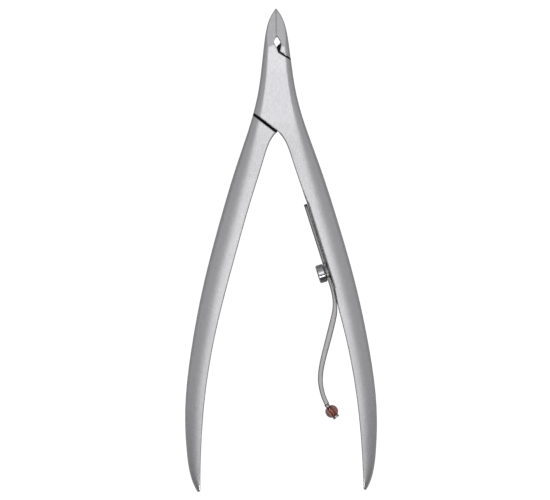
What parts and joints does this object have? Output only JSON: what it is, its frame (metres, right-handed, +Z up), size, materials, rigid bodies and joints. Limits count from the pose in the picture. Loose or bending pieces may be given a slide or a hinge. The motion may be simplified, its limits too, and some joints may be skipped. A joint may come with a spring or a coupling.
{
  "type": "cuticle nipper",
  "caption": "Lap-jointed cuticle nipper with fine pointed jaws, long bowed handles and a swivelling leaf spring that ends in a roller bead.",
  "frame": {"origin": "on the line of symmetry, halfway along, at the underside of the joint", "axes": "+Y towards the jaw tips, +X to the right handle, +Z up through the thickness, with the tool lying on its back"},
  "size_m": [0.0458, 0.115, 0.0061],
  "materials": {
    "satin_steel": "satin, fine blasted grain",
    "spring_steel": "drawn strip with a soft polish",
    "polished_steel": "polished",
    "ruby_resin": "glossy, translucent"
  },
  "bodies": {
    "front": {"front_lever": "satin_steel", "joint_rivet": "satin_steel", "spring_screw": "polished_steel", "swivel_washer": "spring_steel"},
    "back": {"back_lever": "satin_steel"},
    "spring": {"leaf_spring": "spring_steel", "bead_cap": "polished_steel"},
    "bead": {"roller_bead": "ruby_resin"}
  },
  "joints": [
    {"name": "jaw_hinge", "type": "hinge", "parent": "front", "child": "back", "pos_m": [0, 0.03865, 0.00305], "axis": [0, 0, -1], "range_deg": [0, 15]},
    {"name": "spring_swivel", "type": "hinge", "parent": "front", "child": "spring", "pos_m": [0.01194, -0.0052, 0.00305], "axis": [-0.9569, -0.2903, 0], "range_deg": [0, 130]},
    {"name": "bead_roll", "type": "hinge", "parent": "spring", "child": "bead", "pos_m": [0.01212, -0.03867, 0.00305], "axis": [0.6, -0.8, 0], "continuous": true}
  ]
}
